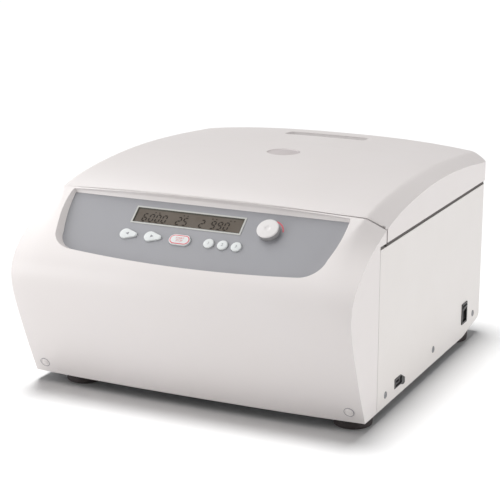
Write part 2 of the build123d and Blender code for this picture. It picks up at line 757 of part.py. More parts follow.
def switch_rocker():
    """The rocker, at rest with its lower half pressed in."""
    y0, z0 = at(SWITCH_D - 7.6, SWITCH_H)
    outline = Polyline(*[(x, y0, z0 + h) for h, x in ROCKER_SIDE], close=True)
    rocker = extrude(make_face(outline), amount=15.2, dir=(0, 1, 0))
    return rocker + along_y(ROCKER_X, SWITCH_D - 8.5, SWITCH_D + 8.5, SWITCH_H, PIN_R)


def power_inlet():
    flange = block(INLET_X - 16, INLET_X + 16, COVER_BACK, COVER_BACK + 2, INLET_H - 13, INLET_H + 13)
    body = block(INLET_X - 13.5, INLET_X + 13.5, 398, COVER_BACK, INLET_H - 10, INLET_H + 10)
    y = FRONT + COVER_BACK + 3
    points = [(-12, -8), (12, -8), (12, 3), (7, 8), (-7, 8), (-12, 3)]
    outline = Polyline(*[(INLET_X + px, y, FOOT + INLET_H + pz) for px, pz in points], close=True)
    inlet = flange + body - extrude(make_face(outline), amount=17, dir=(0, -1, 0))
    for px, pz in ((-7, -2), (0, 2), (7, -2)):
        inlet = inlet + block(INLET_X + px - 1, INLET_X + px + 1, 403, 412, INLET_H + pz - 2, INLET_H + pz + 2)
    return inlet


def power_board():
    """The supply board, upright beside the chamber on two brackets."""
    board = block(-204, -202.4, 110, 380, 30, 150)
    for depth in (128, 352):
        board = board + block(-HALF + SHEET, -204, depth - 4, depth + 4, 60, 68)
    return board


def inverter_board():
    """The motor's drive board on four stand-offs, with the fins of its heat sink."""
    board = block(-198, -100, 96, 200, 12, 13.6)
    for x in (-194, -104):
        for depth in (100, 196):
            board = board + upright(x, depth, 2, 12, 3)
    board = board + block(-190, -110, 110, 160, 13.6, 18)
    for fin in range(11):
        x = -189 + fin * 7.7
        board = board + block(x, x + 2, 110, 160, 18, 40)
    return board


def main():
    write("front_fascia", front_fascia())
    write("fascia_plugs", Compound(fascia_plugs()))
    write("control_panel", control_panel())
    write("display_window", display_window())
    write("display_frame", display_frame())
    for name, (outline, x) in KEYS.items():
        write(name, start_key_cap() if name == "start_stop_key" else key(outline, x))
    write("start_key_ring", start_key_ring())
    write("selector_knob", selector_knob())
    write("control_board", control_board())

    write("lid_shell", lid_shell())
    write("lid_pocket", lid_pocket())
    write("lid_window", lid_window())
    write("window_tube", window_tube())
    write("lid_liner", lid_liner())
    write("lid_strikers", Compound(lid_strikers()))
    write("lid_arms", Compound(lid_arms()))
    write("hinge_pins", Compound(hinge_pins()))
    write("hinge_brackets", Compound(hinge_brackets()))

    write("side_cover", side_cover())
    write("rim_seal", rim_seal())
    write("cover_screws", Compound(cover_screws()))
    write("base_plate", base_plate())
    write("rubber_feet", Compound([rubber_foot(*place) for place in FOOT_PLACES]))
    write("foot_screws", Compound(foot_screws()))
    write("deck", deck())
    write("front_rail", front_rail())
    write("frame_posts", Compound(frame_posts()))

    write("chamber_bowl", chamber_bowl())
    write("chamber_gasket", chamber_gasket())
    write("guard_ring", guard_ring())
    write("spindle_boot", spindle_boot())
    write("motor_housing", motor_housing())
    write("motor_dampers", Compound(motor_dampers()))
    write("spindle", spindle())
    write("rotor_yoke", rotor_yoke())
    write("rotor_nut", rotor_nut())
    for turn in range(4):
        write(f"bucket_{turn + 1}", bucket(turn))
        write(f"bucket_insert_{turn + 1}", bucket_insert(turn))

    write("latch_bar", latch_bar())
    write("latch_housing", latch_housing())
    write("latch_motor", latch_motor())
    write("release_bezel", release_bezel())
    write("release_tab", release_tab())
    write("switch_bezel", switch_bezel())
    write("switch_rocker", switch_rocker())
    write("power_inlet", power_inlet())
    write("power_board", power_board())
    write("inverter_board", inverter_board())


main()
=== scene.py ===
import json
import math

import bmesh
import bpy
import numpy as np
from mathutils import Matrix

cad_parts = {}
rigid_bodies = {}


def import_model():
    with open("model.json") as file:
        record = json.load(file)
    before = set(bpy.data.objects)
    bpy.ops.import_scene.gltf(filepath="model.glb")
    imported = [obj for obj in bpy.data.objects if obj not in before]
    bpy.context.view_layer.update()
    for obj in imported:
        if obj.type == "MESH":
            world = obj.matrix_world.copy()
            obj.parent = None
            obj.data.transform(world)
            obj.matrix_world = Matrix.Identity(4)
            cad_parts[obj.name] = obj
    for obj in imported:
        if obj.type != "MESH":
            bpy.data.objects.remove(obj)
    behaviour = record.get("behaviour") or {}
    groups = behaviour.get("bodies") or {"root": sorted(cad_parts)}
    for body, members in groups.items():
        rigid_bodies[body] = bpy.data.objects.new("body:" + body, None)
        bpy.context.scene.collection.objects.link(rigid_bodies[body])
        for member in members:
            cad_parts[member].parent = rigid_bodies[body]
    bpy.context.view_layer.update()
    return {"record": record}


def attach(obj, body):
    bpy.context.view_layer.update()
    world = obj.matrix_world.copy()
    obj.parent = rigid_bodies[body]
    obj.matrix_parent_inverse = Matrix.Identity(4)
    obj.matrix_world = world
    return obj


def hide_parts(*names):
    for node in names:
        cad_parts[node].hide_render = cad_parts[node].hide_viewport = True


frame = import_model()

# Dimensions, in millimetres: x across, d behind the foot of the front, h above the case's underside.
MM = 0.001
FRONT = -191.2
FOOT = 12.0
HALF = 215.0
WALL = 3.0
LID_BASE = 194.6
LID_BACK = 427.0
LID_BOW = 5.0
LID_CORNER = 12.0
SEAM_X = 195.4
SEAM_D, SEAM_H = 54.8, 209.2
SEAM_SLOPE, SEAM_COS = 1.044, 0.692
# Place across and width of the slanted seam.
SEAM_GAPS = ((-SEAM_X, 0.9), (40.0, 1.25), (160.0, 1.75), (SEAM_X, 3.0))
WINDOW_D = 252.0
PANEL_D, PANEL_H = 33.0, 212.0
PANEL_TILT = math.radians(39.5)
PANEL_TOP = 8.8
# Lean of the recess's wall in degrees and, above the panel, shares of its height and of its reach.
TOP_DRAFT, SIDE_DRAFT = 27.0, 30.0
LIP_PROFILE = (0.0, 0.42, 0.58, 1.0), (0.0, 0.82, 0.95, 1.0)

# Front: depth, height, lean of the section, rise of the middle, its half width and its crown.
FRONT_ROWS = np.array([
    (0.0, 0.0, 0.0, 0.6, 205.0, 5.5),
    (-16.0, 36.0, 2.0, 0.6, 205.0, 4.6),
    (-30.5, 72.0, 4.0, 0.7, 205.0, 3.2),
    (-41.5, 102.0, 7.0, 0.9, 204.0, 2.2),
    (-47.0, 128.0, 11.0, 1.2, 200.0, 1.45),
    (-42.5, 150.0, 24.0, 2.0, 192.0, 2.0),
    (-26.0, 169.5, 38.0, 3.4, 186.0, 2.4),
    (-3.0, 185.0, 47.0, 6.2, 184.0, 2.8),
    (22.0, 197.5, 50.5, 11.0, 188.0, 3.7),
    (54.8, 209.2, 46.2, 19.5, SEAM_X, 4.9),
])
FRONT_TOP = 9.0          # the last station, at the seam
PANEL_T = 4.0            # station below which the front is plain
# Back edge of the front's flat sides: station, depth and height.
SIDE_BACK = ((0.0, 35.7, 0.0), (7.0, 35.7, 182.0), (7.625, 35.7, LID_BASE), (8.625, 54.3, LID_BASE),
             (FRONT_TOP, 54.3, 208.8))

# Lid: depth, height of the edge, of the fold and of the middle.
LID_ROWS = np.array([
    (22.0, 196.0, 217.5, 222.6),
    (54.8, 209.2, 226.0, 230.9),
    (105.0, 221.0, 234.0, 237.6),
    (170.0, 228.8, 238.9, 242.0),
    (240.0, 231.8, 240.2, 243.4),
    (300.0, 229.9, 238.4, 242.9),
    (362.0, 225.0, 234.5, 241.0),
    (436.0, 216.0, 228.2, 238.0),
])


# Curves and grids

def natural_spline(knots, values, at):
    """Cubic pieces through the knots whose slope and curvature agree where they meet, straight at the
    ends."""
    knots = np.asarray(knots, float)
    values = np.asarray(values, float)
    gaps = np.diff(knots)
    count = len(knots)
    system = np.eye(count)
    right = np.zeros_like(values)
    inner = np.arange(1, count - 1)
    system[inner, inner - 1] = gaps[:-1]
    system[inner, inner] = 2 * (gaps[:-1] + gaps[1:])
    system[inner, inner + 1] = gaps[1:]
    slopes = np.diff(values, axis=0) / gaps[:, None]
    right[1:-1] = 6 * np.diff(slopes, axis=0)
    bend = np.linalg.solve(system, right)
    at = np.asarray(at, float)
    i = np.clip(np.searchsorted(knots, at) - 1, 0, count - 2)
    gap = gaps[i][..., None]
    lead = ((knots[i + 1] - at)[..., None]) / gap
    tail = 1 - lead
    curve = lead * values[i] + tail * values[i + 1]
    return curve + ((lead ** 3 - lead) * bend[i] + (tail ** 3 - tail) * bend[i + 1]) * gap ** 2 / 6


def soft_min(a, b, width):
    """The lesser of two values, blended with a parabola where they differ by less than the width."""
    share = np.clip(0.5 + 0.5 * (b - a) / width, 0, 1)
    return b + (a - b) * share - width * share * (1 - share)


def three_point_arc(start, middle, end, count):
    """Points at equal angles on the circle through three points."""
    (ax, ay), (bx, by), (cx, cy) = start, middle, end
    d = 2 * (ax * (by - cy) + bx * (cy - ay) + cx * (ay - by))
    a, b, c = ax ** 2 + ay ** 2, bx ** 2 + by ** 2, cx ** 2 + cy ** 2
    ux = (a * (by - cy) + b * (cy - ay) + c * (ay - by)) / d
    uy = (a * (cx - bx) + b * (ax - cx) + c * (bx - ax)) / d
    angles = np.unwrap([math.atan2(y - uy, x - ux) for x, y in (start, middle, end)])
    turn = np.linspace(angles[0], angles[2], count)
    radius = math.hypot(ax - ux, ay - uy)
    return np.stack([ux + radius * np.cos(turn), uy + radius * np.sin(turn)], 1)


def resampled(points, count):
    """Points at equal distances along a polyline."""
    steps = np.hypot(*np.diff(points, axis=0).T)
    run = np.concatenate([[0], np.cumsum(steps)])
    at = np.linspace(0, run[-1], count)
    return np.stack([np.interp(at, run, points[:, k]) for k in range(2)], 1)


def case_metres(points):
    """Points given as x, depth and height in millimetres, in metres in the shared frame."""
    points = np.asarray(points, float)
    return (points + np.array([0.0, FRONT, FOOT])) * MM


def panel_point(x, v, rise):
    """x, depth and height of a point given across, up the slope of and above the control panel."""
    x, v, rise = np.broadcast_arrays(x, v, rise)
    c, s = math.cos(PANEL_TILT), math.sin(PANEL_TILT)
    return np.stack([x, PANEL_D + v * c - rise * s, PANEL_H + v * s + rise * c], -1)


def grid_faces(rows, columns, first=0, closed=False):
    """Corner numbers of the quads of a grid whose points are counted row by row; a closed row is a ring."""
    r, c = np.meshgrid(np.arange(rows - 1), np.arange(columns if closed else columns - 1), indexing="ij")
    c1 = (c + 1) % columns
    quads = np.stack([r * columns + c, r * columns + c1, (r + 1) * columns + c1, (r + 1) * columns + c], -1)
    return quads.reshape(-1, 4) + first


def mesh_piece(name, vertices, faces, smooth=40.0, weld=0.0, outward=False):
    """An object at the origin from points in metres, smooth except where faces meet sharply."""
    mesh = bpy.data.meshes.new(name)
    mesh.from_pydata(np.asarray(vertices).tolist(), [], [list(map(int, f)) for part in faces for f in part])
    if weld or outward:
        work = bmesh.new()
        work.from_mesh(mesh)
        if weld:
            bmesh.ops.remove_doubles(work, verts=work.verts, dist=weld * MM)
            bmesh.ops.dissolve_degenerate(work, edges=work.edges, dist=1e-7)
        if outward:
            bmesh.ops.recalc_face_normals(work, faces=work.faces)
        work.to_mesh(mesh)
        work.free()
    mesh.polygons.foreach_set("use_smooth", np.ones(len(mesh.polygons), bool))
    mesh.set_sharp_from_angle(angle=math.radians(smooth))
    mesh.update()
    piece = bpy.data.objects.new(name, mesh)
    bpy.context.scene.collection.objects.link(piece)
    return piece


def grids_piece(name, grids, **options):
    """One piece from several grids of case points, each rows by columns; a pair with True is closed."""
    vertices, faces, first = [], [], 0
    for grid in grids:
        points, closed = grid if isinstance(grid, tuple) else (grid, False)
        rows, columns = points.shape[:2]
        vertices.append(case_metres(points).reshape(-1, 3))
        faces.append(grid_faces(rows, columns, first, closed))
        first += rows * columns
    return mesh_piece(name, np.concatenate(vertices), faces, **options)


def modify(piece, kind, **settings):
    """A modifier with its settings."""
    modifier = piece.modifiers.new(kind.lower(), kind)
    for key, value in settings.items():
        setattr(modifier, key, value)
    return modifier


def applied(piece):
    """The piece with its modifiers worked into its mesh."""
    graph = bpy.context.evaluated_depsgraph_get()
    mesh = bpy.data.meshes.new_from_object(piece.evaluated_get(graph))
    piece.modifiers.clear()
    piece.data = mesh
    return piece


def capped(piece):
    """The piece with its open ends closed by flat faces."""
    work = bmesh.new()
    work.from_mesh(piece.data)
    bmesh.ops.holes_fill(work, edges=work.edges, sides=0)
    bmesh.ops.recalc_face_normals(work, faces=work.faces)
    work.to_mesh(piece.data)
    work.free()
    return piece


def carve(piece, cutters):
    """The piece with other solids taken away, which are then removed from the scene."""
    for cutter in cutters:
        modify(piece, "BOOLEAN", operation="DIFFERENCE", solver="EXACT", object=cutter)
    applied(piece)
    for cutter in cutters:
        bpy.data.objects.remove(cutter)
    piece.data.set_sharp_from_angle(angle=math.radians(35))
    return piece


def rounded_edges(piece, width, angle=30.0, segments=3):
    """Bevelled edges where faces meet at more than an angle."""
    modify(piece, "BEVEL", width=width * MM, segments=segments, limit_method="ANGLE",
           angle_limit=math.radians(angle), harden_normals=True, miter_outer="MITER_ARC")


def prism(name, outline, low, high, to_case, **options):
    """A closed prism on an outline, between two levels that a function turns into case points."""
    outline = np.asarray(outline, float)
    count = len(outline)
    points = np.concatenate([to_case(*outline.T, np.full(count, level)) for level in (low, high)])
    sides = grid_faces(2, count, 0, True)
    caps = [list(range(count))[::-1], list(range(count, 2 * count))]
    return mesh_piece(name, case_metres(points), [sides, caps], outward=True, **options)


def plan(x, d, h):
    """Case points of an outline seen from above."""
    return np.stack([x, d, h], -1)


def circle(radius, count, x=0.0, d=0.0):
    """Points at equal angles on a circle."""
    turn = np.linspace(0, 2 * math.pi, count, endpoint=False)
    return np.stack([x + radius * np.cos(turn), d + radius * np.sin(turn)], 1)


def rounded_rectangle(x0, x1, d0, d1, radius, steps=8):
    """A rectangle's outline with a quarter circle at each corner."""
    corners = [(x1 - radius, d1 - radius, 0), (x0 + radius, d1 - radius, 90), (x0 + radius, d0 + radius, 180),
               (x1 - radius, d0 + radius, 270)]
    parts = []
    for cx, cd, start in corners:
        turn = np.radians(np.linspace(start, start + 90, steps))
        parts.append(np.stack([cx + radius * np.cos(turn), cd + radius * np.sin(turn)], 1))
    return np.concatenate(parts)


def softened(points, radius, steps=4):
    """A polyline whose corners are rounded by parabolas that start a radius away from them."""
    points = np.asarray(points, float)
    parts = [points[:1]]
    for a, b, c in zip(points[:-2], points[1:-1], points[2:]):
        back, ahead = a - b, c - b
        reach = min(radius, 0.45 * np.hypot(*back), 0.45 * np.hypot(*ahead))
        start, end = b + back / np.hypot(*back) * reach, b + ahead / np.hypot(*ahead) * reach
        share = np.linspace(0, 1, steps)[:, None]
        parts.append(start * (1 - share) ** 2 + 2 * b * share * (1 - share) + end * share ** 2)
    return np.concatenate(parts + [points[-1:]])


def turned(profile, place, count=64, flutes=0, depth=0.0):
    """A profile of radius and height turned once round, with optional flutes where it is widest."""
    profile = np.asarray(profile, float)
    turn = np.linspace(0, 2 * math.pi, count, endpoint=False)
    radius = profile[:, :1] * np.ones(count)
    if flutes:
        radius = radius - depth * (radius > 0.9 * profile[:, 0].max()) * (0.5 + 0.5 * np.cos(flutes * turn))
    height = np.broadcast_to(profile[:, 1:], radius.shape)
    return place(radius * np.cos(turn), radius * np.sin(turn), height), True


def at_panel(x, v):
    """Places a turned profile on the panel, its axis square to it."""
    return lambda a, b, rise: panel_point(x + a, v + b, rise)


def at_side(d, h, side):
    """Places a turned profile on the right side, or on the left with side -1."""
    return lambda a, b, rise: np.stack([side * (HALF + rise), d + a, h + b], -1)


def at_top(x, d):
    """Places a turned profile upright."""
    return lambda a, b, h: np.stack([x + a, d + b, h], -1)


# Materials

class Value:
    """A socket of a finish; arithmetic on it adds Math nodes."""

    def __init__(self, finish, socket):
        self.finish = finish
        self.socket = socket

    def math(self, operation, *values):
        return self.finish.node("ShaderNodeMath", {"operation": operation}, dict(enumerate(values)))

    def __add__(self, other):
        return self.math("ADD", self, other)

    def __radd__(self, other):
        return self.math("ADD", other, self)

    def __rsub__(self, other):
        return self.math("SUBTRACT", other, self)

    def __mul__(self, other):
        return self.math("MULTIPLY", self, other)

    def __rmul__(self, other):
        return self.math("MULTIPLY", other, self)


class Finish:
    """A material of one Principled shader, with nodes that vary its sockets."""

    def __init__(self, name, color, roughness, **fixed):
        self.material = bpy.data.materials.new(name)
        self.material.use_nodes = True
        self.tree = self.material.node_tree
        self.shader = self.tree.nodes["Principled BSDF"]
        self.color = (*color, 1.0)
        self.shader.inputs["Base Color"].default_value = self.color
        self.shader.inputs["Roughness"].default_value = roughness
        for key, value in fixed.items():
            self.shader.inputs[key.replace("_", " ")].default_value = value
        self.where = self.node("ShaderNodeTexCoord", {}, {}, "Object")

    def node(self, kind, settings, inputs, output=0):
        """A node of a type, with its settings and then the values or links of its sockets."""
        node = self.tree.nodes.new(kind)
        for key, value in settings.items():
            setattr(node, key, value)
        for key, value in inputs.items():
            self.set(node.inputs[key], value)
        return Value(self, node.outputs[output])

    def set(self, socket, value):
        if isinstance(value, Value):
            self.tree.links.new(value.socket, socket)
        else:
            socket.default_value = value

    def feed(self, socket, value):
        self.set(self.shader.inputs[socket], value)

    def noise(self, scale, detail=2.0, roughness=0.5, where=None):
        return self.node("ShaderNodeTexNoise", {}, {"Vector": where or self.where, "Scale": scale,
                                                    "Detail": detail, "Roughness": roughness})

    def fade(self, value, low, high):
        """0 below the first limit, 1 above the second, and a straight line between them."""
        return self.node("ShaderNodeMapRange", {"clamp": True}, {0: value, 1: low, 2: high})

    def mix(self, share, one, other):
        """One colour turning into another as the share goes from 0 to 1."""
        return self.node("ShaderNodeMix", {"data_type": "RGBA"}, {0: share, 6: one, 7: other}, 2)

    def bump(self, height, distance):
        """Relief of a depth in millimetres."""
        self.feed("Normal", self.node("ShaderNodeBump", {}, {"Height": height, "Distance": distance * MM,
                                                             "Strength": 1.0}))

    def tinted(self, amount, scale, tint):
        """The base colour with slow patches of a slightly different tint."""
        patches = self.fade(self.noise(scale, 3.0), 0.35, 0.65)
        other = (*[c * t for c, t in zip(self.color[:3], tint)], 1.0)
        self.feed("Base Color", self.mix(patches * amount, self.color, other))


def moulded(name, color, roughness, coat=0.0, **fixed):
    """Smooth moulded plastic: a fine spark-eroded grain, slow changes of tint, faint handling marks."""
    finish = Finish(name, color, roughness, Coat_Weight=coat, Coat_Roughness=0.25, **fixed)
    finish.tinted(0.5, 9.0, (0.985, 0.98, 0.97))
    fine = finish.noise(1500.0, 3.0, 0.6)
    marks = finish.fade(finish.noise(22.0, 5.0, 0.65), 0.45, 0.75)
    finish.feed("Roughness", roughness + marks * 0.06 + fine * 0.03)
    finish.bump(fine, 0.012)
    return finish


def painted(name, color, roughness):
    """Powder-coated sheet metal: soft orange peel and slow changes of gloss."""
    finish = Finish(name, color, roughness, Coat_Weight=0.08, Coat_Roughness=0.3)
    finish.tinted(0.5, 7.0, (0.985, 0.98, 0.97))
    peel = finish.noise(420.0, 2.0)
    finish.feed("Roughness", roughness + finish.fade(finish.noise(14.0, 4.0), 0.4, 0.7) * 0.07)
    finish.bump(peel, 0.02)
    return finish


def brushed(name, color, roughness, direction):
    """Brushed or rolled metal: long fine scratches along one axis and slow clouding."""
    finish = Finish(name, color, roughness, Metallic=1.0)
    stretched = finish.node("ShaderNodeMapping", {}, {"Vector": finish.where, "Scale": direction})
    lines = finish.noise(900.0, 4.0, 0.6, where=stretched)
    cloud = finish.noise(16.0, 4.0)
    finish.feed("Roughness", roughness + lines * 0.14 + finish.fade(cloud, 0.35, 0.7) * 0.08)
    finish.tinted(0.6, 20.0, (0.93, 0.93, 0.94))
    finish.bump(lines, 0.01)
    return finish


def cast(name, color, roughness):
    """Cast and machined alloy: small pits and a soft uneven gloss."""
    finish = Finish(name, color, roughness, Metallic=1.0)
    pits = finish.noise(700.0, 5.0, 0.7)
    finish.feed("Roughness", roughness + finish.fade(finish.noise(40.0, 3.0), 0.35, 0.7) * 0.12)
    finish.tinted(0.6, 30.0, (0.9, 0.9, 0.91))
    finish.bump(pits, 0.03)
    return finish


def rubber(name, color):
    """Matt rubber: a fine bloom and a pebbled grain."""
    finish = Finish(name, color, 0.75)
    bloom = finish.fade(finish.noise(60.0, 4.0), 0.4, 0.75)
    finish.feed("Base Color", finish.mix(bloom * 0.35, finish.color, (*[c * 1.8 for c in color], 1.0)))
    finish.feed("Roughness", 0.68 + bloom * 0.2)
    finish.bump(finish.noise(1100.0, 3.0), 0.03)
    return finish


def laminate(name, color):
    """A circuit board: green lacquer with faint copper tracks below it."""
    finish = Finish(name, color, 0.35, Coat_Weight=0.4)
    tracks = finish.node("ShaderNodeTexBrick", {}, {"Vector": finish.where, "Scale": 90.0,
                                                    "Mortar Size": 0.03}, 1)
    finish.feed("Base Color", finish.mix(tracks * 0.5, finish.color, (0.10, 0.30, 0.12, 1.0)))
    return finish


def glazed(name, color, roughness, coat, specular):
    """A clear hard cover over a tinted ground: faint smears in its gloss and slow changes of tint."""
    finish = Finish(name, color, roughness, Coat_Roughness=0.08, Specular_IOR_Level=specular)
    finish.tinted(0.7, 30.0, (0.9, 0.9, 0.88))
    smears = finish.fade(finish.noise(45.0, 4.0, 0.6), 0.4, 0.7)
    finish.feed("Roughness", roughness + smears * 0.08)
    finish.feed("Coat Weight", coat - smears * 0.1)
    finish.bump(finish.noise(600.0, 2.0), 0.004)
    return finish


FINISHES = {
    "cream_plastic": moulded("warm_white_moulding", (0.67, 0.635, 0.627), 0.44, coat=0.05),
    # The pocket's finish is the body's colour darkened, as painted shade in its hollow.
    "pocket_painted_shade": moulded("pocket_moulding_painted_shade", (0.55, 0.52, 0.515), 0.46),
    "cream_paint": painted("warm_white_powder_coat", (0.665, 0.635, 0.618), 0.42),
    "panel_grey": moulded("blue_grey_film", (0.268, 0.268, 0.286), 0.5),
    "frame_pale": moulded("pale_line", (0.45, 0.45, 0.43), 0.5),
    "display_dark": glazed("olive_display", (0.066, 0.046, 0.028), 0.3, 0.15, 0.25),
    "board_green": laminate("green_board", (0.03, 0.16, 0.07)),
    "key_pale": moulded("pale_keys", (0.60, 0.62, 0.62), 0.38),
    "key_red": moulded("red_print", (0.58, 0.06, 0.09), 0.4),
    "knob_pale": moulded("pale_knob", (0.64, 0.62, 0.615), 0.5),
    # The knob's skirt is dark grey as painted shade of its side.
    "knob_side_shade": moulded("skirt_painted_shade", (0.30, 0.295, 0.30), 0.45),
    "window_grey": glazed("smoked_window", (0.60, 0.545, 0.545), 0.3, 0.35, 0.5),
    "mark_grey": moulded("grey_print", (0.20, 0.20, 0.22), 0.5),
    # The display's surround is near black as painted shade in its recess.
    "display_recess_shade": moulded("surround_painted_shade", (0.05, 0.045, 0.03), 0.5),
    "display_ink": moulded("display_figures", (0.024, 0.018, 0.013), 0.6, Specular_IOR_Level=0.1),
    "black_plastic": moulded("black_moulding", (0.018, 0.017, 0.018), 0.36),
    "dark_grey_plastic": moulded("dark_grey_moulding", (0.09, 0.088, 0.09), 0.42),
    "rubber_black": rubber("black_rubber", (0.026, 0.019, 0.019)),
    "steel": brushed("brushed_stainless", (0.60, 0.60, 0.61), 0.24, (1.0, 1.0, 14.0)),
    "zinc": brushed("zinc_plated_sheet", (0.52, 0.53, 0.55), 0.36, (1.0, 6.0, 1.0)),
    "cast_alloy": cast("cast_alloy", (0.56, 0.57, 0.58), 0.36),
    "bright_steel": brushed("turned_steel", (0.66, 0.66, 0.67), 0.16, (1.0, 1.0, 10.0)),
    "screw_steel": brushed("plain_screws", (0.30, 0.30, 0.31), 0.4, (1.0, 1.0, 4.0)),
    "seal_grey": rubber("grey_rubber", (0.085, 0.076, 0.072)),
    "insert_blue": moulded("blue_polymer", (0.06, 0.11, 0.20), 0.4),
}


def finish_piece(piece, slot, body, *nodes):
    """A piece with its finish, riding on a body and standing for the nodes it replaces."""
    piece.data.materials.clear()
    piece.data.materials.append(FINISHES[slot].material)
    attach(piece, body)
    if nodes:
        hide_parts(*nodes)
    return piece


# Every solid that stays gets its slot's finish, except two in the seams, given dark tones that paint the
# shade there

for part in frame["record"]["subparts"]:
    solid = bpy.data.objects[part["node"]]
    for place in solid.material_slots:
        place.material = FINISHES[part["material_slot"]].material
# The rail behind the front's seam is dark grey as painted shade of the seam; the seal's grey is partly its
# own rubber's tone and partly painted shade of the gap between the lid and the cover.
for name, finish in (("front_rail", "dark_grey_plastic"), ("rim_seal", "seal_grey")):
    bpy.data.objects[name].material_slots[0].material = FINISHES[finish].material


# Front moulding

def section_rise(x, rise, half, crown):
    """How far a front section stands out: a crown over the middle, then straight down to the side edge."""
    across = np.abs(x)
    flank = rise * (HALF - across) / (HALF - half)
    middle = rise + crown * (1 - np.clip(across / half, 0, 1) ** 2.4)
    return np.maximum(soft_min(flank, middle, np.minimum(2.6, 0.3 + 0.3 * rise)), 0)


def front_point(x, t):
    """The front's outer surface at a place across and a station number."""
    rows = natural_spline(np.arange(len(FRONT_ROWS)), FRONT_ROWS, t)
    depth, height, lean, rise, half, crown = np.moveaxis(rows, -1, 0)
    out = section_rise(x, rise, half, crown)
    lean = np.radians(lean)
    return np.stack([x + 0 * t, depth - out * np.cos(lean), height + out * np.sin(lean)], -1)


def fold_at(t):
    """Half width of the front's middle at a station number."""
    return natural_spline(np.arange(len(FRONT_ROWS)), FRONT_ROWS[:, 4:5], t)[..., 0]


def above_panel(x, v):
    """The front surface seen from the panel: its height above the panel's plane, and the station number."""
    t = np.linspace(PANEL_T, FRONT_TOP, 500)
    surface = front_point(x[:, None], np.broadcast_to(t, (len(x), len(t))))
    c, s = math.cos(PANEL_TILT), math.sin(PANEL_TILT)
    along_d = surface[..., 1] - PANEL_D
    along_h = surface[..., 2] - PANEL_H
    slope = along_d * c + along_h * s
    height = along_h * c - along_d * s
    i = np.clip((slope < v[:, None]).sum(1), 1, len(t) - 1)[:, None]
    before, after = np.take_along_axis(slope, i - 1, 1), np.take_along_axis(slope, i, 1)
    share = np.clip((v[:, None] - before) / (after - before), 0, 1)
    mixed = [np.take_along_axis(a, i - 1, 1) * (1 - share) + np.take_along_axis(a, i, 1) * share
             for a in (height, np.broadcast_to(t, slope.shape))]
    return mixed[0][:, 0], mixed[1][:, 0]


ACROSS = 97              # points across the front and along the panel's upper and lower edge
UP = 41                  # points along each side of the panel
LOW = 49                 # points up the plain part


def panel_sides():
    """The panel's outline as four runs of points: a straight top, and arcs at the right, bottom and left."""
    top_end, side_end, low_end = (176.4, PANEL_TOP), (167, -50), (146, -73)
    mirror = np.array([-1, 1])
    right = np.concatenate([three_point_arc(top_end, (173.4, -24), side_end, 30),
                            three_point_arc(side_end, (160, -65.5), low_end, 24)[1:]])
    right, turn = right[:43], right[42:]
    lower = three_point_arc(low_end, (0, -80), low_end * mirror, 120)
    bottom = np.concatenate([turn, lower[1:-1], (turn * mirror)[::-1]])
    top = np.array([top_end * mirror, top_end])
    left = (right * mirror)[::-1]
    return [resampled(top, ACROSS), resampled(right, UP), resampled(bottom, ACROSS), resampled(left, UP)]


def outward_of(points):
    """Unit vectors that point out of a closed outline that runs clockwise."""
    along = np.roll(points, -1, 0) - np.roll(points, 1, 0)
    along /= np.hypot(*along.T)[:, None]
    return np.stack([-along[:, 1], along[:, 0]], 1)


def recess():
    """The recess round the panel: its outline and the directions out of it, the rise and draft of its wall,
    and where the wall meets the front, as shares of the half width and stations. The wall leans out by its
    rise times its draft, and the rise is where the leaning wall is as high as the front, found in rounds."""
    outline = np.concatenate([run[:-1] for run in panel_sides()])
    out = outward_of(outline)
    rise = np.full(len(outline), 6.0)
    draft = np.tan(np.radians(np.interp(outline[:, 1], [0.0, PANEL_TOP], [SIDE_DRAFT, TOP_DRAFT])))
    for _ in range(12):
        reach = rise * draft
        rise, station = above_panel(outline[:, 0] + out[:, 0] * reach, outline[:, 1] + out[:, 1] * reach)
    hole_x = outline[:, 0] + out[:, 0] * rise * draft
    return outline, out, rise, draft, hole_x / fold_at(station), station


def recess_ring(hole_u, station):
    """The front round the recess: straight lines, in shares of the half width and in stations, from the
    recess's edge to the folds, the seam and the plain part."""
    u = np.linspace(-1, 1, ACROSS)
    t = np.linspace(FRONT_TOP, PANEL_T, UP)
    rim = np.concatenate([np.stack([u, np.full(ACROSS, FRONT_TOP)], 1)[:-1],
                          np.stack([np.ones(UP), t], 1)[:-1],
                          np.stack([u[::-1], np.full(ACROSS, PANEL_T)], 1)[:-1],
                          np.stack([-np.ones(UP), t[::-1]], 1)[:-1]])
    share = np.linspace(0, 1, 17)[:, None]
    ring_u = hole_u * (1 - share) + rim[:, 0] * share
    ring_t = station * (1 - share) + rim[:, 1] * share
    return front_point(ring_u * fold_at(ring_t), ring_t)


def recess_wall(outline, out, rise, draft):
    """The recess's wall: rings from the front down to the panel's outline, drawn in evenly with their
    height beside and below the panel and in two steps above it."""
    level = np.linspace(1, 0, 17)[:, None]
    above = np.interp(outline[:, 1], [0.0, PANEL_TOP], [0.0, 1.0])
    away = (level * (1 - above) + np.interp(level, *LIP_PROFILE) * above) * rise * draft
    return panel_point(outline[:, 0] + out[:, 0] * away, outline[:, 1] + out[:, 1] * away, level * rise)


def plain_part():
    """The front below the panel: front sections between the folds, from the foot upwards."""
    t, u = np.meshgrid(np.linspace(0, PANEL_T, LOW), np.linspace(-1, 1, ACROSS), indexing="ij")
    return front_point(u * fold_at(t), t)


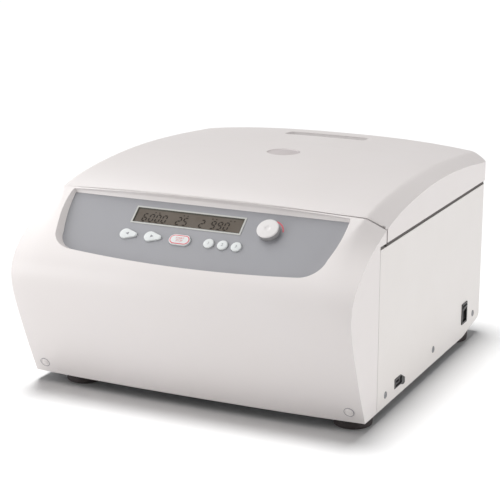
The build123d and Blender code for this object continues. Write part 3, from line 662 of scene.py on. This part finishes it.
def flank(side):
    """One flank: the bevel from the fold to the case's side, and straight lines from there to the flat
    side's back edge."""
    edge_t = np.concatenate([np.linspace(0, PANEL_T, LOW)[:-1], np.linspace(PANEL_T, FRONT_TOP, UP)])
    t, v = np.meshgrid(edge_t, np.linspace(0, 1, 11) ** 1.3, indexing="ij")
    half = fold_at(t)
    bevel = front_point(side * (half + (HALF - half) * v), t)
    edge = front_point(np.full(len(edge_t), side * HALF), edge_t)
    stations, depths, heights = np.transpose(SIDE_BACK)
    back = [edge[:, 0], np.interp(edge_t, stations, depths), np.interp(edge_t, stations, heights)]
    share = np.linspace(0, 1, 9)[None, :, None]
    return bevel, edge[:, None] * (1 - share) + np.stack(back, -1)[:, None] * share


def front_moulding():
    """The front: the ring round the recess, the recess's wall, the plain part and both flanks."""
    outline, out, rise, draft, hole_u, station = recess()
    grids = [(recess_ring(hole_u, station), True), (recess_wall(outline, out, rise, draft), True),
             plain_part()]
    for side in (-1, 1):
        grids += flank(side)
    return grids_piece("front_moulding", grids, weld=0.02, outward=True)


front = front_moulding()
modify(front, "SOLIDIFY", thickness=WALL * MM, offset=-1.0, use_even_offset=True)
rounded_edges(front, 0.9, 32.0)
finish_piece(front, "cream_plastic", "case", "front_fascia")


# Lid

# A faint raised line across the lid: its depth, height, width and half length.
CREASE_D, CREASE_H, CREASE_WIDE, CREASE_END = 316.0, 0.35, 7.0, 140.0
POCKET = (-58, 58, 382, 406)


def lid_height(x, d):
    """The lid's top: a crown over the middle, then straight down from the fold to the edge."""
    rows = natural_spline(LID_ROWS[:, 0], LID_ROWS[:, 1:], d)
    edge, fold, middle = np.moveaxis(rows, -1, 0)
    across = np.abs(x)
    fade = np.clip((CREASE_END - across) / 40, 0, 1)
    crease = CREASE_H * np.exp(-((d - CREASE_D) / CREASE_WIDE) ** 2) * fade
    middle = middle + crease
    bevel = fold + (edge - fold) * (across - SEAM_X) / (HALF - SEAM_X)
    crown = fold + (middle - fold) * (1 - np.clip(across / SEAM_X, 0, 1.2) ** 2.6)
    return soft_min(bevel, crown, 2.0)


def seam_height(x, d):
    """Height of the lid's edge of the slanted seam, whose gap widens towards the right flank."""
    gap = np.interp(x, *np.transpose(SEAM_GAPS))
    return SEAM_H + gap / SEAM_COS - SEAM_SLOPE * (d - SEAM_D)


def lid_front(x):
    """Depth at which the lid's top meets the slanted seam."""
    low, high = np.full(x.shape, 20.0), np.full(x.shape, 62.0)
    for _ in range(40):
        middle = (low + high) / 2
        seam = seam_height(x, middle)
        over = lid_height(x, middle) > seam
        high = np.where(over, middle, high)
        low = np.where(over, low, middle)
    return (low + high) / 2


def lid_cover():
    """The lid's outer skin: a crowned top from the seam to the bowed back, rounded back corners, and a
    skirt. Each corner carries a square's corner onto a quarter circle."""
    u = np.concatenate([np.linspace(-1, -0.94, 5)[:-1], np.linspace(-0.94, -0.86, 9)[:-1],
                        np.linspace(-0.86, 0.86, 81), np.linspace(0.86, 0.94, 9)[1:],
                        np.linspace(0.94, 1, 5)[1:]])
    x = u * HALF
    back = LID_BACK + LID_BOW * (1 - u ** 2)
    share = np.concatenate([np.linspace(0, 0.94, 73)[:-1], np.linspace(0.94, 1, 13)])[:, None]
    start = np.maximum(lid_front(x), 0)
    d = start * (1 - share) + back * share
    x = np.broadcast_to(x, d.shape)
    p = np.clip((np.abs(x) - (HALF - LID_CORNER)) / LID_CORNER, 0, 1)
    q = np.clip((d - (back - LID_CORNER)) / LID_CORNER, 0, 1)
    inside = (p > 0) & (q > 0)
    x2 = np.sign(x) * (HALF - LID_CORNER + LID_CORNER * p * np.sqrt(1 - q ** 2 / 2))
    d2 = back - LID_CORNER + LID_CORNER * q * np.sqrt(1 - p ** 2 / 2)
    x = np.where(inside, x2, x)
    d = np.where(inside, d2, d)
    top = np.stack([x, d, lid_height(x, d)], -1)
    edge = np.concatenate([top[:-1, 0], top[-1, :-1], top[::-1, -1]])
    down = np.linspace(0, 1, 6)[:, None, None]
    foot = edge.copy()
    foot[:, 2] = LID_BASE
    skirt = edge * (1 - down) + foot * down
    return grids_piece("lid_cover", [top, skirt], weld=0.02, outward=True)


def lid_front_wall():
    """The wall behind the slanted seam: along the seam and then upright, set back behind the rail. The
    seam's line falls at an even slope from where it meets the lid's top."""
    grids = []
    for x0, x1, set_back in ((-HALF + 2.0, -204.5, 1.5), (-204.0, 204.0, 6.2), (204.5, HALF - 2.0, 1.5)):
        x = np.linspace(x0, x1, 61)
        top_d = lid_front(x)
        foot_d = SEAM_D + set_back
        foot = np.full(x.shape, foot_d + 0.1)
        grids.append(np.stack([np.stack([x, top_d + 0.4, lid_height(x, top_d) - 0.6], -1),
                               np.stack([x, foot, seam_height(x, foot_d)], -1),
                               np.stack([x, foot, np.full(x.shape, LID_BASE)], -1)]))
    return grids_piece("lid_front_wall", grids)


lid = lid_cover()
modify(lid, "SOLIDIFY", thickness=WALL * MM, offset=-1.0, use_even_offset=True)
carve(lid, [prism("window_hole", circle(21.0, 96, 0, WINDOW_D), 225, 260, plan),
            prism("pocket_hole", rounded_rectangle(*POCKET, 5), 228, 260, plan)])
rounded_edges(lid, 0.9, 30.0)
finish_piece(lid, "cream_plastic", "lid", "lid_shell")
lid_wall = lid_front_wall()
modify(lid_wall, "SOLIDIFY", thickness=2.6 * MM, offset=1.0)
finish_piece(lid_wall, "cream_plastic", "lid")


# Control panel

KEY_V = -42.6
KEY_GAP = 0.35
# Each key: centre and radius of its two ends; a round key's ends are one.
LEFT_KEY, MIDDLE_KEY = (-86.0, 7.0, -74.0, 3.0), (-54.0, 7.0, -42.0, 3.0)
START_KEY, START_X = (-21.25, 7.25, -8.75, 7.25), -15.0
ROUND_X = (21.9, 39.3, 56.5)
ROUND_KEYS = [(x, 6.3, x, 6.3) for x in ROUND_X]
KNOB_X, KNOB_V = 88.0, -17.0
DISPLAY = (-85.2, 52.8, -23.6, -2.8)
GLASS_RISE = -0.85


def capsule(x0, r0, x1, r1, inset, height, v=KEY_V, count=96):
    """Rings of a tapered capsule: two circles and their common tangents, drawn in ring by ring.

    Each boundary point belongs to a centre on the line between the circles; an inset shortens its arm,
    and the last insets shrink the arm to nothing, so the cap closes on that line.
    """
    length = x1 - x0
    lean = math.acos((r0 - r1) / length) if length else math.pi / 2
    small = np.linspace(-lean, lean, count // 2)
    large = np.linspace(lean, 2 * math.pi - lean, count // 2)
    angle = np.concatenate([small, large])
    centre = np.concatenate([np.full(len(small), x1), np.full(len(large), x0)])
    radius = np.concatenate([np.full(len(small), r1), np.full(len(large), r0)])
    inset = np.asarray(inset, float)[:, None]
    arm = np.where(inset <= 1, radius * (1 - inset), 0)
    return panel_point(centre + arm * np.cos(angle), v + arm * np.sin(angle),
                       np.broadcast_to(np.asarray(height, float)[:, None], arm.shape)), True


CAP_EDGE = softened([(0.0, -1.2), (0.0, 1.5), (0.12, 1.9), (0.5, 2.15), (1.0, 2.25)], 0.35)


def key_cap(name, body, ends, *nodes):
    """A domed key cap: a capsule drawn in along the cap's edge, rounded alike on all keys."""
    inset = CAP_EDGE[:, 0] * np.where(CAP_EDGE[:, 0] < 0.13, 4.0 / ends[1], 1.0)
    cap = grids_piece(name, [capsule(*ends, inset, CAP_EDGE[:, 1])], weld=0.01, outward=True)
    finish_piece(cap, "key_pale", body, *nodes)


key_cap("left_cap", "left_key", LEFT_KEY, "key_left")
key_cap("middle_cap", "middle_key", MIDDLE_KEY, "key_middle")
key_cap("start_cap", "start_key", START_KEY, "start_stop_key")
for number, ends in enumerate(ROUND_KEYS, 1):
    key_cap(f"round_cap_{number}", f"round_key_{number}", ends, f"small_key_{number}")


def cap_height(reach):
    """Height of a cap's face at a share of the way in from its edge."""
    return np.interp(reach, CAP_EDGE[:, 0], CAP_EDGE[:, 1])


def start_ring():
    """The coloured line round the start key: a thin band laid on its domed face."""
    share = np.array([0.13, 0.15, 0.2, 0.25, 0.3, 0.32])
    lift = np.array([-0.05, 0.05, 0.07, 0.07, 0.05, -0.05])
    return grids_piece("start_ring", [capsule(*START_KEY, share, cap_height(share) + lift)])


finish_piece(start_ring(), "key_red", "start_key", "start_key_ring")


def words(name, lines, x, v, size, rise, slot, body):
    """Short generic words laid on the panel's slope, one line below another."""
    points, faces, first = [], [], 0
    for row, line in enumerate(lines):
        curve = bpy.data.curves.new(name, "FONT")
        curve.body = line
        curve.size = size
        curve.align_x = "CENTER"
        curve.align_y = "CENTER"
        curve.extrude = 0.03
        holder = bpy.data.objects.new(name, curve)
        bpy.context.scene.collection.objects.link(holder)
        mesh = bpy.data.meshes.new_from_object(holder.evaluated_get(bpy.context.evaluated_depsgraph_get()))
        flat = np.empty(len(mesh.vertices) * 3)
        mesh.vertices.foreach_get("co", flat)
        flat = flat.reshape(-1, 3)
        line_v = v - (row - (len(lines) - 1) / 2) * size * 0.95
        points.append(case_metres(panel_point(x + flat[:, 0], line_v + flat[:, 1], rise + flat[:, 2])))
        faces.append([[i + first for i in polygon.vertices] for polygon in mesh.polygons])
        first += len(flat)
        bpy.data.objects.remove(holder)
    return finish_piece(mesh_piece(name, np.concatenate(points), faces, outward=True), slot, body)


words("start_words", ["START", "STOP"], START_X, KEY_V, 3.6, cap_height(1.0) + 0.02, "key_red", "start_key")
for number, x in enumerate(ROUND_X, 1):
    words(f"round_mark_{number}", [str(number)], x, KEY_V, 5.0, cap_height(1.0) + 0.02, "mark_grey",
          f"round_key_{number}")


def arrow_mark(name, x, turn, body):
    """A small triangle, pointing left or right, on a drop-shaped key."""
    along = np.array([-2.4, 1.6, 1.6]) * turn
    corners = np.stack([x + along, KEY_V + np.array([0.0, 1.9, -1.9])], 1)
    corners = corners if turn > 0 else corners[::-1]
    piece = prism(name, corners, cap_height(1.0) - 0.05, cap_height(1.0) + 0.04, panel_point)
    finish_piece(piece, "mark_grey", body)


arrow_mark("left_mark", -83.0, 1, "left_key")
arrow_mark("middle_mark", -51.0, -1, "middle_key")


def display_face():
    """The display: a surround whose corners are drawn in as it slopes down, near black as painted shade of
    its recess, and flat glass inside it.
    """
    x0, x1, v0, v1 = DISPLAY
    rows = []
    for inset, level in ((-0.4, 0.3), (0.2, 0.3), (1.3, -0.9)):
        corners = np.array([(x0 + inset, v0 + inset), (x1 - inset, v0 + inset), (x1 - inset, v1 - inset),
                            (x0 + inset, v1 - inset)])
        rows.append(panel_point(corners[:, 0], corners[:, 1], level))
    surround = grids_piece("display_surround", [(np.stack(rows), True)], smooth=20)
    finish_piece(surround, "display_recess_shade", "case")
    x, v = np.meshgrid(np.linspace(x0 + 1.2, x1 - 1.2, 60), np.linspace(v0 + 1.2, v1 - 1.2, 14),
                       indexing="ij")
    glass = grids_piece("display_glass", [panel_point(x, v, GLASS_RISE)])
    finish_piece(glass, "display_dark", "case", "display_window")


display_face()

# The parts of each figure, and where each part starts and ends in figure widths and half heights.
SEGMENTS = {"0": "abcdef", "2": "abged", "5": "afgcd", "6": "afgcde", "9": "abcdfg"}
SEGMENT_ENDS = {"a": (0, 2, 1, 2), "b": (1, 2, 1, 1), "c": (1, 1, 1, 0), "d": (0, 0, 1, 0), "e": (0, 1, 0, 0),
                "f": (0, 2, 0, 1), "g": (0, 1, 1, 1)}


def readout():
    """Three groups of plain digits, each part a strip with pointed ends, and a row of short dashes above;
    all lean to the right by a share of their height."""
    wide, high, thick, slant = 4.8, 5.2, 0.75, 0.12
    base, dashes = -20.6, -7.2
    strips = []
    for text, start in (("6000", -75.0), ("25", -31.0), ("2990", -1.0)):
        for place, sign in enumerate(text):
            gap = 6.0 if start > -10 and place > 0 else 0.0
            x = start + place * (wide + 3.6) + gap
            strips += [(x + a * wide, base + b * high, x + c * wide, base + d * high)
                       for a, b, c, d in (SEGMENT_ENDS[part] for part in SEGMENTS[sign])]
    strips += [(x, dashes, x + 3.0, dashes) for x in (-64.0, -59.0, -27.0, -22.0, 10.0, 15.0, 33.0, 38.0)]
    ends = np.array(strips)
    a, b = ends[:, :2], ends[:, 2:]
    along = (b - a) / np.hypot(*(b - a).T)[:, None]
    across = np.stack([-along[:, 1], along[:, 0]], 1) * thick
    a, b = a + along * thick * 0.6, b - along * thick * 0.6
    shape = np.stack([a, a + along * thick + across, b - along * thick + across, b,
                      b - along * thick - across, a + along * thick - across], 1)
    x, v = shape[..., 0] + slant * (shape[..., 1] - base), shape[..., 1]
    vertices = case_metres(panel_point(x, v, GLASS_RISE + 0.15)).reshape(-1, 3)
    faces = (np.arange(len(strips))[:, None] * 6 + np.arange(6)[::-1]).tolist()
    return mesh_piece("readout", vertices, [faces])


finish_piece(readout(), "display_ink", "case")


KNOB_TOP = 8.0


def knob():
    """The selector, turned from two profiles: a fluted skirt, dark grey as painted shade of the knob's side,
    and a pale cap with a rounded rim and a shallow dimple."""
    place = at_panel(KNOB_X, KNOB_V)
    skirt = turned(softened([(0, -0.5), (11.9, -0.5), (12.7, 0.2), (12.5, 6.4), (0, 6.6)], 0.5, 5),
                   place, 144, 36, 0.4)
    piece = grids_piece("knob_skirt", [skirt], weld=0.01, outward=True, smooth=35)
    finish_piece(piece, "knob_side_shade", "knob", "selector_knob")
    cap = softened([(0, 6.1), (12.6, 6.1), (13.0, 6.5), (12.9, 7.2), (12.2, KNOB_TOP - 0.15), (4.6, KNOB_TOP),
                    (3.6, KNOB_TOP - 0.05), (2.2, KNOB_TOP - 0.45), (0, KNOB_TOP - 0.5)], 0.8, 6)
    piece = grids_piece("knob_cap", [turned(cap, place, 96)], weld=0.01, outward=True, smooth=50)
    finish_piece(piece, "knob_pale", "knob")


knob()


def dial_arc():
    """The coloured arc beside the knob: a flat band between two circles, with low edges."""
    turn = np.radians(np.linspace(8, 76, 28))
    rows = [(15.2, 0.0), (15.2, 0.12), (16.9, 0.12), (16.9, 0.0)]
    grid = np.stack([panel_point(KNOB_X + r * np.cos(turn), KNOB_V + r * np.sin(turn), h) for r, h in rows])
    return grids_piece("dial_arc", [grid], smooth=20)


finish_piece(dial_arc(), "key_red", "case")


def panel_film():
    """The printed panel: a thin plate on the recess's outline, with holes for display, keys and knob."""
    outline = np.concatenate([run[:-1] for run in panel_sides()])
    plate = prism("panel_film", outline, -1.6, 0.0, panel_point)
    low, high = -3.0, 1.0
    cutters = []
    for x0, r0, x1, r1 in (LEFT_KEY, MIDDLE_KEY, START_KEY, *ROUND_KEYS):
        hole = capsule(x0, r0 + KEY_GAP, x1, r1 + KEY_GAP, [0.0, 0.0], [low, high])
        cutters.append(capped(grids_piece("key_hole", [hole])))
    x0, x1, v0, v1 = DISPLAY
    edge = rounded_rectangle(x0 + 0.1, x1 - 0.1, v0 + 0.1, v1 - 0.1, 0.4, 3)
    cutters.append(prism("display_hole", edge, low, high, panel_point))
    cutters.append(prism("knob_hole", circle(4.0, 48, KNOB_X, KNOB_V), low, high, panel_point))
    return carve(plate, cutters)


finish_piece(panel_film(), "panel_grey", "case", "control_panel")


# Fasteners, feet and fittings

SCREWS = [(side, d, h) for side in (-1, 1) for d, h in ((62.6, 13.6), (227.6, 18.6), (385.3, 21.3))]


def pan_heads():
    """Screw heads along both sides: a domed profile turned round, with a crossed recess."""
    head = softened([(4.3, 0.05), (4.3, 0.3), (3.9, 0.65), (2.6, 1.0), (0, 1.18)], 0.3)
    heads = grids_piece("pan_heads", [turned(head, at_side(d, h, side), 40) for side, d, h in SCREWS],
                        weld=0.005, outward=True)
    modify(heads, "SOLIDIFY", thickness=0.9 * MM, offset=-1.0)
    cutters = []
    for side, d, h in SCREWS:
        for wide, tall in ((0.5, 2.1), (2.1, 0.5)):
            corners = rounded_rectangle(-wide, wide, -tall, tall, 0.45, 3)
            cutters.append(prism("recess", corners, 0.45, 2.4, at_side(d, h, side)))
    return carve(heads, cutters)


finish_piece(pan_heads(), "screw_steel", "case", "cover_screws")


def front_plugs():
    """Flush round plugs at the foot of the front, turned square to it: each domed inside a fine groove, and
    ringed in dark grey as painted shade of the gap round it.
    """
    slope = math.atan2(16.0, 36.0)
    station = np.array([14.0 / 36.0])
    grids, shade_rings = [], []
    for x in (-198.5, 198.5):
        def place(a, b, rise):
            base = front_point(np.array([x]), station)[0]
            return np.stack([base[0] + a, base[1] - rise * math.cos(slope) - b * math.sin(slope),
                             base[2] - rise * math.sin(slope) + b * math.cos(slope)], -1)
        profile = softened([(5.6, -0.2), (5.6, 0.45), (4.9, 0.7), (4.4, 0.2), (3.9, 0.1), (3.4, 0.55),
                            (2.0, 0.85), (0, 0.9)], 0.4)
        grids.append(turned(profile, place, 48))
        # A dark grey ring round each plug is painted shade of the gap round it.
        shade_rings.append(turned([(6.15, -0.3), (6.15, 0.5), (5.7, 0.5), (5.7, -0.3)], place, 48))
    finish_piece(grids_piece("plug_gap_shade", shade_rings, smooth=30), "mark_grey", "case")
    return grids_piece("front_plugs", grids, weld=0.005, outward=True)


finish_piece(front_plugs(), "cream_plastic", "case", "fascia_plugs")


RAMP_D, RAMP_SLOPE = 345, 9.5 / 63     # where the case's underside starts to rise, and how steeply


def feet():
    """Turned rubber feet with soft edges and a fine groove; the upper half of each back one is stretched
    up to the sloping underside."""
    profile = softened([(3.2, -7.2), (6.5, -7.2), (6.5, -12), (20.8, -12), (22.1, -10.9), (22.4, -7.2),
                        (22.0, -6.8), (22.4, -6.3), (22.4, -1.2), (22.4, 0.0)], 0.6)
    grids = []
    for x in (-163, 190):
        for d in (27, 370):
            def place(a, b, h):
                ramp = np.clip((d + b - RAMP_D) * RAMP_SLOPE, 0, None)
                lift = np.clip((h + 6) / 6, 0, 1)
                return np.stack([x + a, d + b, h + lift * ramp * (d > RAMP_D)], -1)
            grids.append(turned(profile, place, 72))
    return grids_piece("feet", grids, outward=True)


finish_piece(feet(), "rubber_black", "case", "rubber_feet")


ROCKER_D, ROCKER_H = 348.0, 32.2


def rocker():
    """The rocker: a side view with rounded corners, drawn along the pin and drawn in at its ends."""
    side_view = softened([(-9.7, 208.5), (-10.7, 213.0), (-9.9, 213.9), (0, 213.2), (9.6, 217.6),
                          (10.5, 216.8), (9.9, 208.5)], 1.2, 5)
    along = np.array([-7.5, -7.35, -7.0, 0, 7.0, 7.35, 7.5])
    draw = np.array([0.5, 0.15, 0, 0, 0, 0.15, 0.5])
    h = side_view[:, 0][None] * (1 - draw[:, None] / 10)
    x = side_view[:, 1][None] - draw[:, None]
    d = np.broadcast_to(ROCKER_D + along[:, None], h.shape)
    return grids_piece("rocker_cap", [np.stack([x, d, ROCKER_H + h], -1)], outward=True, smooth=50)


finish_piece(rocker(), "black_plastic", "rocker", "switch_rocker")


# Solids that stay and have edges to break

for name in ("side_cover", "release_bezel", "release_tab", "switch_bezel", "power_inlet", "display_frame",
             "lid_liner", "deck", "chamber_bowl", "rotor_yoke", "rotor_nut", "hinge_brackets",
             "lid_arms", "lid_strikers", "latch_bar", "chamber_gasket", "rim_seal", "front_rail",
             *(f"bucket_{k}" for k in range(1, 5)), *(f"bucket_insert_{k}" for k in range(1, 5))):
    rounded_edges(bpy.data.objects[name], 0.15 if name == "display_frame" else 0.5, 40.0, 2)


# Finger pocket and sight window in the lid

def pocket_tray():
    """The shallow finger pocket near the lid's back: rings drawn in from a rounded rim, that fall by a
    power of their inset from the lid's top to a flat floor."""
    x0, x1, d0, d1 = POCKET
    deep, curved = 5.2, 6.0
    middle = np.array([x0 + x1, d0 + d1]) / 2
    scale = np.array([x1 - x0, d1 - d0]) / 2
    inset = np.concatenate([[-0.8], np.linspace(0, curved, 13), [9.0, 11.5]])
    reach = (rounded_rectangle(*POCKET, 5.0, 12) - middle) / scale
    points = middle + reach * np.maximum(scale - inset[:, None, None], 0.3)
    fall = deep * (1 - np.clip(1 - inset / curved, 0, 1) ** 2.2)
    h = lid_height(points[..., 0], points[..., 1]) - 0.15 - fall[:, None]
    return grids_piece("pocket_tray", [(np.concatenate([points, h[..., None]], -1), True)], smooth=60)


pocket = pocket_tray()
modify(pocket, "SOLIDIFY", thickness=1.2 * MM, offset=-1.0)
# The pocket takes the darkened finish, painted shade of its hollow.
finish_piece(pocket, "pocket_painted_shade", "lid", "lid_pocket")


def lid_lens():
    """The sight window: the profile of a slightly domed disc inside a thin rim, turned round."""
    profile = softened([(20.6, 239.5), (20.6, 243.1), (19.8, 243.35), (19.2, 242.9), (12, 243.2),
                        (0, 243.38)], 0.4)
    return grids_piece("lid_lens", [turned(profile, at_top(0, WINDOW_D), 96)], weld=0.005, outward=True)


finish_piece(lid_lens(), "window_grey", "lid", "lid_window")


# Camera, floor and lights

def stage_floor():
    """A pale floor that reaches to the horizon."""
    size = 40.0
    corners = [(-size, -size, 0), (size, -size, 0), (size, size, 0), (-size, size, 0)]
    floor = mesh_piece("floor", corners, [[[0, 1, 2, 3]]])
    paper = Finish("white_paper", (0.92, 0.92, 0.92), 0.9)
    paper.tinted(0.3, 3.0, (0.99, 0.99, 0.99))
    paper.bump(paper.noise(300.0, 3.0), 0.02)
    floor.data.materials.append(paper.material)
    return floor


def light_group(name, state):
    """A set that holds the floor, so that a light reaches it alone or leaves it out."""
    group = bpy.data.collections.new(name)
    group.objects.link(floor)
    group.collection_objects[0].light_linking.link_state = state
    return group


def lamp_object(name, lamp, group):
    """A lamp in the scene that lights only what its group lets through."""
    light = bpy.data.objects.new(name, lamp)
    light.light_linking.receiver_collection = group
    bpy.context.scene.collection.objects.link(light)
    return light


def area_light(name, place, aim, size, watts, group):
    """A soft square light that faces a point."""
    lamp = bpy.data.lights.new(name, "AREA")
    lamp.size = size
    lamp.energy = watts
    light = lamp_object(name, lamp, group)
    place = np.array(place)
    back = place - np.array(aim)
    back = back / np.linalg.norm(back)
    light.location = place
    light.rotation_euler = (math.acos(back[2]), 0, math.atan2(back[0], -back[1]))


def sun(name, direction, strength, spread, group):
    """A distant light of a wide angle that comes from a direction."""
    lamp = bpy.data.lights.new(name, "SUN")
    lamp.energy = strength
    lamp.angle = math.radians(spread)
    light = lamp_object(name, lamp, group)
    x, y, z = np.array(direction) / np.linalg.norm(direction)
    light.rotation_euler = (math.acos(z), 0, math.atan2(x, -y))


CAMERA_AT = (801.6, -1525.2, 634.1)     # across, depth and height, in millimetres
CAMERA_TURN, CAMERA_DROP = math.radians(25.52), math.radians(16.01)
FOCAL, SENSOR, SHIFT = 112.8, 36.0, 0.06


def camera():
    """The photograph's viewpoint: from the object's right front corner and slightly from above."""
    lens = bpy.data.cameras.new("camera")
    lens.lens = FOCAL
    lens.sensor_width = SENSOR
    lens.shift_y = SHIFT
    view = bpy.data.objects.new("camera", lens)
    bpy.context.scene.collection.objects.link(view)
    view.location = case_metres(CAMERA_AT)
    view.rotation_euler = (math.pi / 2 - CAMERA_DROP, 0, CAMERA_TURN)
    bpy.context.scene.camera = view


floor = stage_floor()
camera()
world = bpy.data.worlds.new("studio")
world.use_nodes = True
world.node_tree.nodes["Background"].inputs[0].default_value = (1.0, 1.0, 1.0, 1.0)
world.node_tree.nodes["Background"].inputs[1].default_value = 0.30
bpy.context.scene.world = world
# The first light falls on the floor alone and throws the shadow; the others leave the floor out.
shade = light_group("floor_light", "INCLUDE")
form = light_group("form_light", "EXCLUDE")
sun("above", (-0.12, 0.02, 1.0), 2.75, 22, shade)
sun("key", (-0.66, 0.08, 0.74), 3.2, 75, form)
sun("side", (0.93, 0.0, 0.12), 1.85, 40, form)
area_light("front", (-0.9, -0.95, 0.2), (-0.1, -0.2, 0.12), 0.8, 8.6, form)
bpy.context.scene.view_settings.view_transform = "Standard"
